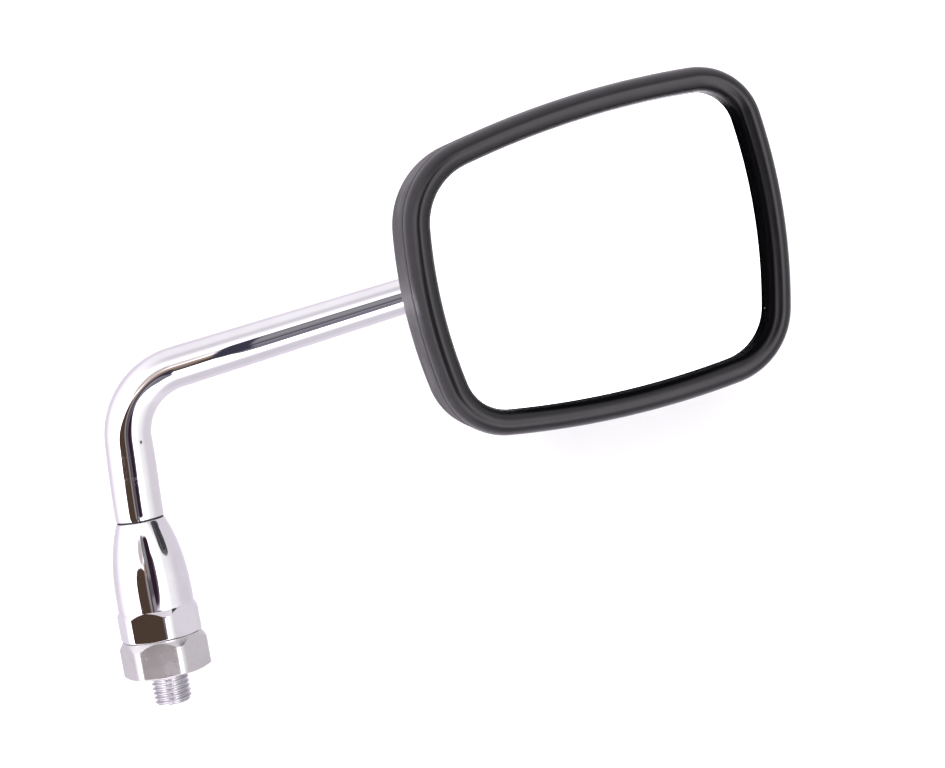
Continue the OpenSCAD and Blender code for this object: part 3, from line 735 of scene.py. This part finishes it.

# specks are scale, share of the cells that hold one, and size
# wallShadeColour is painted shade: the near-black of the recess wall beside the glass
rubberLook = {"colour": (0.0035, 0.0032, 0.0038), "faded": (0.006, 0.0055, 0.0065),
              "wallShadeColour": (0.0015, 0.0015, 0.002), "dust": (0.5, 0.48, 0.47), "specks": (260.0, 0.03, 0.05),
              "coatRoughness": 0.24, "coatIor": 1.5, "mottledSheen": 0.9, "wallSheen": 0.03,
              "grainScale": 3200.0, "mottle": 140.0, "bump": 0.12, "bumpDepth": 0.00004}


def makeRubber():
    look = rubberLook
    made, tree, shader = startMaterial("rimRubber", look["colour"])
    shader.inputs["Specular IOR Level"].default_value = 0.0
    shader.inputs["Coat Roughness"].default_value = look["coatRoughness"]
    shader.inputs["Coat IOR"].default_value = look["coatIor"]
    shade = grainOn(tree, shader, look)
    # painted shade: the wall beside the glass on its right and lower sides turns near-black and keeps only a
    # trace of coat
    bare = node(tree, "ShaderNodeAttribute", attribute_name="paintedWallShade").outputs["Fac"]
    colour = mixColours(tree, shade, look["colour"], look["faded"])
    colour = mixColours(tree, bare, colour, look["wallShadeColour"])
    colour = mixColours(tree, specksOn(tree, look), colour, look["dust"])
    tree.links.new(colour, shader.inputs["Base Color"])
    sheen = rangeNode(tree, shade, 0.0, 1.0, 1.0, look["mottledSheen"])
    onBead = rangeNode(tree, bare, 0.0, 1.0, 1.0, look["wallSheen"])
    tree.links.new(mathNode(tree, "MULTIPLY", sheen, onBead), shader.inputs["Coat Weight"])
    return made


shellLook = {"colour": (0.014, 0.014, 0.015), "rubbed": (0.05, 0.05, 0.052), "dust": (0.4, 0.39, 0.38),
             "specks": (180.0, 0.06, 0.05), "roughness": (0.36, 0.48), "wear": (0.53, 0.62),
             "wearBreakup": 420.0, "grainScale": 1500.0, "mottle": 70.0, "bump": 0.35, "bumpDepth": 0.00008}


def makeShellPlastic():
    look = shellLook
    made, tree, shader = startMaterial("shellPlastic", look["colour"])
    shader.inputs["Specular IOR Level"].default_value = 0.5
    shade = grainOn(tree, shader, look)
    wear = effect(tree, edgeWear, From=look["wear"][0], To=look["wear"][1], Breakup=look["wearBreakup"])
    colour = mixColours(tree, wear.outputs["Mask"], look["colour"], look["rubbed"])
    colour = mixColours(tree, specksOn(tree, look), colour, look["dust"])
    tree.links.new(colour, shader.inputs["Base Color"])
    tree.links.new(rangeNode(tree, shade, 0.0, 1.0, *look["roughness"]), shader.inputs["Roughness"])
    return made


mirrorLook = {"colour": (0.95, 0.955, 0.96), "clean": (0.955, 0.96, 0.962), "smeared": (0.94, 0.945, 0.95),
              "smearScale": 25.0, "roughness": (0.0, 0.012), "specks": (220.0, 0.03, 0.03),
              "speckRoughness": 0.3}


def makeMirrorSilver():
    look = mirrorLook
    low, high = look["roughness"]
    made, tree, shader = startMaterial("mirrorSilver", look["colour"], Metallic=1.0)
    smears = effect(tree, handSmears, Scale=look["smearScale"], Low=low, High=high)
    dusty = mathNode(tree, "MULTIPLY", specksOn(tree, look), look["speckRoughness"])
    tree.links.new(mathNode(tree, "ADD", smears.outputs["Value"], dusty), shader.inputs["Roughness"])
    silver = mixColours(tree, smears.outputs["Mask"], look["clean"], look["smeared"])
    tree.links.new(silver, shader.inputs["Base Color"])
    return made


mouldedLook = {"grainScale": 2000.0, "mottle": 160.0, "bump": 0.15, "bumpDepth": 0.00004}
nylonLook = {"colour": (0.72, 0.68, 0.58), "faded": (0.64, 0.6, 0.5), "roughness": (0.35, 0.5)}
backingLook = {"colour": (0.05, 0.05, 0.052), "faded": (0.07, 0.068, 0.066), "roughness": (0.45, 0.6)}
washerLook = {"colour": (0.012, 0.012, 0.013), "faded": (0.02, 0.02, 0.02), "roughness": (0.55, 0.7)}


def makeMoulded(name, colour, faded, roughness):
    made, tree, shader = startMaterial(name, colour)
    shade = grainOn(tree, shader, mouldedLook)
    tree.links.new(mixColours(tree, shade, colour, faded), shader.inputs["Base Color"])
    tree.links.new(rangeNode(tree, shade, 0.0, 1.0, *roughness), shader.inputs["Roughness"])
    return made


rubber, shellPlastic, mirrorSilver = makeRubber(), makeShellPlastic(), makeMirrorSilver()
nylon = makeMoulded("linerNylon", **nylonLook)
backingBoard = makeMoulded("backingPlastic", **backingLook)
washerRubber = makeMoulded("washerRubber", **washerLook)


def dress(target, material):
    target.data.materials.clear()
    target.data.materials.append(material)


for piece, material in ((adapterHex, satin), (adapterThread, zinc), (taperNut, nutChrome), (stemTube, chrome),
                        (rubberRim, rubber), (backShell, shellPlastic), (mirrorGlass, mirrorSilver)):
    dress(piece, material)
carried = {
    "seal_washer": washerRubber, "stem_stud": steel, "ball_pin": steel, "front_liner": nylon,
    "rear_liner": nylon, "stay_plate": steel, "clamp_plate": steel, "backing_plate": backingBoard,
}
for name, cadNode in nodes.items():
    if name.startswith("clamp_spring"):
        material = springSteel
    elif name.startswith(("clamp_screw", "stay_screw")):
        material = steel
    else:
        material = carried.get(name)
    if material:
        slots = cadNode.data.materials
        if not slots:
            slots.append(material)
        for k in range(len(slots)):
            slots[k] = material
print("finishes: metals, rubber, plastics and mirror made")


# studio

cameraSizes = {
    "place": (93.9, -612.1, 118.0), "right": (0.9856, -0.0153, -0.1685), "back": (0, -0.9959, 0.0902),
    "lens": 87.62, "sensor": 36.0, "clip": (0.01, 20),
}


def aim(target, place, at):
    target.location = Vector(place) * mm
    target.rotation_euler = (Vector(at) - Vector(place)).to_track_quat("-Z", "Y").to_euler()


def makeCamera():
    s = cameraSizes
    camera = bpy.data.objects.new("photoCamera", bpy.data.cameras.new("photoCamera"))
    bpy.context.collection.objects.link(camera)
    camera.data.lens = s["lens"]
    camera.data.sensor_width = s["sensor"]
    camera.data.sensor_fit = "HORIZONTAL"
    camera.data.clip_start, camera.data.clip_end = s["clip"]
    right, back = Vector(s["right"]).normalized(), Vector(s["back"])
    up = back.cross(right).normalized()
    turn = Matrix((right, up, right.cross(up))).transposed().to_4x4()
    camera.matrix_world = Matrix.Translation(Vector(s["place"]) * mm) @ turn
    bpy.context.scene.camera = camera


sweepSizes = {
    "floorZ": -85.0, "wallY": 172.0, "radius": 60.0, "steps": 15, "start": -650.0, "top": 1100.0,
    "sides": (-1500, 1700), "base": (0.9, 0.9, 0.9), "paper": (0.9, 0.895, 0.905),
    "paperShade": (0.905, 0.9, 0.91), "roughness": 0.9, "grainScale": 900.0, "mottle": 12.0,
}


def makeSweep():
    # floor and wall in one pale sheet, seen from its front side only
    s = sweepSizes
    line = [(s["start"], s["floorZ"]), (s["wallY"] - s["radius"], s["floorZ"])]
    for i in range(1, s["steps"] + 1):
        a = math.pi / 2 * i / s["steps"]
        line.append((s["wallY"] - s["radius"] + s["radius"] * math.sin(a),
                     s["floorZ"] + s["radius"] * (1 - math.cos(a))))
    line.append((s["wallY"], s["top"]))
    verts = [Vector((x, y, z)) * mm for y, z in line for x in s["sides"]]
    mesh = bpy.data.meshes.new("paleSweep")
    mesh.from_pydata(verts, [], [(2 * i, 2 * i + 1, 2 * i + 3, 2 * i + 2) for i in range(len(line) - 1)])
    mesh.shade_smooth()
    sweep = bpy.data.objects.new("paleSweep", mesh)
    bpy.context.collection.objects.link(sweep)
    made, tree, shader = startMaterial("palePaper", s["base"], Roughness=s["roughness"])
    shader.inputs["Specular IOR Level"].default_value = 0.0
    grain = effect(tree, mouldGrain, Scale=s["grainScale"], Mottle=s["mottle"])
    paper = mixColours(tree, grain.outputs["Shade"], s["paper"], s["paperShade"])
    tree.links.new(paper, shader.inputs["Base Color"])
    clear = node(tree, "ShaderNodeBsdfTransparent")
    choose = node(tree, "ShaderNodeMixShader")
    tree.links.new(node(tree, "ShaderNodeNewGeometry").outputs["Backfacing"], choose.inputs[0])
    tree.links.new(shader.outputs[0], choose.inputs[1])
    tree.links.new(clear.outputs[0], choose.inputs[2])
    tree.links.new(choose.outputs[0], tree.nodes["Material Output"].inputs["Surface"])
    sweep.data.materials.append(made)
    sweep.visible_glossy = False


# each range is where one glow gives way to the next along a direction's x, y or z
worldLook = {
    "white": (1.0, 0.985, 1.0), "strength": 1.0, "front": (2.8, 2.62, 2.84), "side": (1.3, 1.21, 1.33),
    "back": (0.8, 0.74, 0.83), "right": (0.72, 0.68, 0.74), "upper": (0.98, 0.95, 1.0),
    "lower": (0.68, 0.65, 0.71), "frontToSide": (-0.9, 0.0), "sideToBack": (0.0, 0.6),
    "frontToWhite": (-0.9, -0.5), "whiteToRight": (-0.5, 0.15), "rightFrom": (0.2, 0.7),
    "upperFrom": (0.6, 0.95), "lowerUpTo": (-0.98, -0.75), "ceilingFrom": (0.1, 0.8),
    "ceilingBackTo": (-0.9, 0.1), "ceilingShare": 0.42,
}


def makeWorld():
    # plain white for the camera and for soft light; polished faces see a brighter front and paler sides
    s = worldLook
    world = bpy.data.worlds.new("softWorld")
    bpy.context.scene.world = world
    world.use_nodes = True
    tree = world.node_tree
    plain = tree.nodes["Background"]
    plain.inputs[0].default_value = (*s["white"], 1)
    plain.inputs[1].default_value = s["strength"]
    split = node(tree, "ShaderNodeSeparateXYZ")
    tree.links.new(node(tree, "ShaderNodeTexCoord").outputs["Generated"], split.inputs[0])
    x, y, z = split.outputs
    nearer = mixColours(tree, rangeNode(tree, y, *s["frontToSide"]), s["front"], s["side"])
    colour = mixColours(tree, rangeNode(tree, y, *s["sideToBack"]), nearer, s["back"])
    right = mixColours(tree, rangeNode(tree, y, *s["frontToWhite"]), s["front"], s["white"])
    right = mixColours(tree, rangeNode(tree, y, *s["whiteToRight"]), right, s["right"])
    colour = mixColours(tree, rangeNode(tree, x, *s["rightFrom"]), colour, right)
    colour = mixColours(tree, rangeNode(tree, z, *s["upperFrom"]), colour, s["upper"])
    colour = mixColours(tree, rangeNode(tree, z, *s["lowerUpTo"], 1.0, 0.0), colour, s["lower"])
    above, ahead = rangeNode(tree, z, *s["ceilingFrom"]), rangeNode(tree, y, *s["ceilingBackTo"], 1.0, 0.0)
    ceiling = mathNode(tree, "MULTIPLY", above, ahead)
    glossy = node(tree, "ShaderNodeBackground")
    tree.links.new(colour, glossy.inputs[0])
    tree.links.new(rangeNode(tree, ceiling, 0.0, 1.0, 1.0, s["ceilingShare"]), glossy.inputs[1])
    choose = node(tree, "ShaderNodeMixShader")
    tree.links.new(node(tree, "ShaderNodeLightPath").outputs["Is Glossy Ray"], choose.inputs[0])
    tree.links.new(plain.outputs[0], choose.inputs[1])
    tree.links.new(glossy.outputs[0], choose.inputs[2])
    tree.links.new(choose.outputs[0], tree.nodes["World Output"].inputs["Surface"])


def cardCover(tree, place, look):
    # how far a soft-edged card covers each spot of the board, and the height on the card
    lean, power = math.radians(look.get("lean", 0)), look.get("power", 4.0)
    c, k = math.cos(lean), math.sin(lean)
    dx = mathNode(tree, "SUBTRACT", place[0], look["middle"][0] * mm)
    dz = mathNode(tree, "SUBTRACT", place[2], look["middle"][1] * mm)
    wide, tall = look["size"][0] / 2 * mm, look["size"][1] / 2 * mm

    def along(a, b):
        return mathNode(tree, "ADD", mathNode(tree, "MULTIPLY", dx, a), mathNode(tree, "MULTIPLY", dz, b))

    u, v = along(c / wide, k / wide), along(-k / tall, c / tall)
    terms = [mathNode(tree, "POWER", mathNode(tree, "ABSOLUTE", w), power) for w in (u, v)]
    reach = mathNode(tree, "POWER", mathNode(tree, "ADD", *terms), 1 / power)
    if "fray" in look:
        join = node(tree, "ShaderNodeCombineXYZ")
        tree.links.new(u, join.inputs[0])
        tree.links.new(v, join.inputs[1])
        cloud = mathNode(tree, "SUBTRACT", noiseNode(tree, join.outputs[0], 3.0), 0.5)
        reach = mathNode(tree, "ADD", reach, mathNode(tree, "MULTIPLY", cloud, look["fray"]))
    return rangeNode(tree, reach, 1 - look["soft"], 1.0, 1.0, 0.0), v


boardSizes = {"y": -700.0, "reach": 2400.0}


def makeBoard(cards):
    # one board of painted cards ahead of the mirror, seen by polished faces only
    reach, y = boardSizes["reach"], boardSizes["y"]
    mesh = bpy.data.meshes.new("cardBoard")
    corners = ((-reach, -reach), (reach, -reach), (reach, reach), (-reach, reach))
    mesh.from_pydata([Vector((x, y, z)) * mm for x, z in corners], [], [(0, 1, 2, 3)])
    board = bpy.data.objects.new("cardBoard", mesh)
    bpy.context.collection.objects.link(board)
    made = bpy.data.materials.new("cardBoard")
    made.use_nodes = True
    tree = made.node_tree
    tree.nodes.remove(tree.nodes["Principled BSDF"])
    split = node(tree, "ShaderNodeSeparateXYZ")
    tree.links.new(node(tree, "ShaderNodeNewGeometry").outputs["Position"], split.inputs[0])
    colour, clear = (1.0, 1.0, 1.0), None
    for look in cards.values():
        cover, height = cardCover(tree, split.outputs, look)
        if "bands" in look:
            ramp = node(tree, "ShaderNodeValToRGB")
            stops = ramp.color_ramp.elements
            while len(stops) < len(look["bands"]):
                stops.new(0.5)
            for stop, (level, tone) in zip(stops, look["bands"]):
                stop.position = level
                stop.color = (*tone, 1)
            tree.links.new(rangeNode(tree, height, -1.0, 1.0), ramp.inputs[0])
            paint = ramp.outputs[0]
        else:
            paint = look["colour"]
        colour = mixColours(tree, cover, colour, paint)
        bare = mathNode(tree, "SUBTRACT", 1.0, cover)
        clear = mathNode(tree, "MULTIPLY", clear, bare) if clear else bare
    light = node(tree, "ShaderNodeEmission")
    tree.links.new(colour, light.inputs[0])
    choose = node(tree, "ShaderNodeMixShader")
    tree.links.new(clear, choose.inputs[0])
    tree.links.new(light.outputs[0], choose.inputs[1])
    tree.links.new(node(tree, "ShaderNodeBsdfTransparent").outputs[0], choose.inputs[2])
    tree.links.new(choose.outputs[0], tree.nodes["Material Output"].inputs["Surface"])
    mesh.materials.append(made)
    board.visible_camera = board.visible_diffuse = board.visible_shadow = board.visible_transmission = False


# middle and size are across and up on the board; a lean moves a card's top towards -x
cards = {
    "pale": {"middle": (-150, 260), "size": (330, 400), "colour": (0.6, 0.54, 0.52), "soft": 0.6,
             "power": 2.0, "fray": 0.4},
    "brown": {"middle": (-275, -60), "size": (620, 390), "colour": (0.075, 0.048, 0.035), "soft": 0.08,
              "power": 2.3},
    "purple": {"middle": (185, 75), "size": (420, 400), "colour": (0.13, 0.105, 0.15), "soft": 0.22,
               "power": 3.0},
    "dark": {"middle": (150, 165), "size": (310, 580), "colour": (0.03, 0.015, 0.022), "soft": 0.22},
    "grey": {"middle": (-75, -20), "size": (110, 320), "colour": (0.3, 0.265, 0.265), "soft": 0.6,
             "power": 2.5},
    "copper": {"middle": (-60, 110), "size": (130, 150), "colour": (0.42, 0.28, 0.2), "soft": 0.6,
               "power": 2.5},
    "armBand": {"middle": (38, 15), "size": (124, 880), "soft": 0.12, "power": 8.0, "lean": 7.1,
                "bands": ((0.0, (0.2, 0.19, 0.23)), (0.24, (0.2, 0.19, 0.23)), (0.28, (0.28, 0.27, 0.31)),
                          (0.36, (0.28, 0.27, 0.31)), (0.4, (0.11, 0.1, 0.125)), (0.52, (0.11, 0.1, 0.125)),
                          (0.58, (0.24, 0.235, 0.26)), (0.84, (0.3, 0.295, 0.32)), (1.0, (0.2, 0.2, 0.22)))},
    "armEdge": {"middle": (-27, 100), "size": (28, 760), "colour": (0.045, 0.042, 0.068), "soft": 0.3,
                "power": 8.0, "lean": 7.1},
}


keyLook = {"place": (40, -1100, 330), "at": (90, 100, 60), "size": 0.32, "power": 9.0}


def makeKeyLight():
    look = keyLook
    key = bpy.data.objects.new("softKey", bpy.data.lights.new("softKey", "AREA"))
    bpy.context.collection.objects.link(key)
    key.data.shape = "DISK"
    key.data.size = look["size"]
    key.data.energy = look["power"]
    aim(key, look["place"], look["at"])
    key.visible_camera = False
    key.visible_glossy = False


makeCamera()
makeSweep()
makeWorld()
makeBoard(cards)
makeKeyLight()
bpy.context.scene.view_settings.view_transform = "Standard"
print("studio: camera, sweep, world, card board and key light placed")
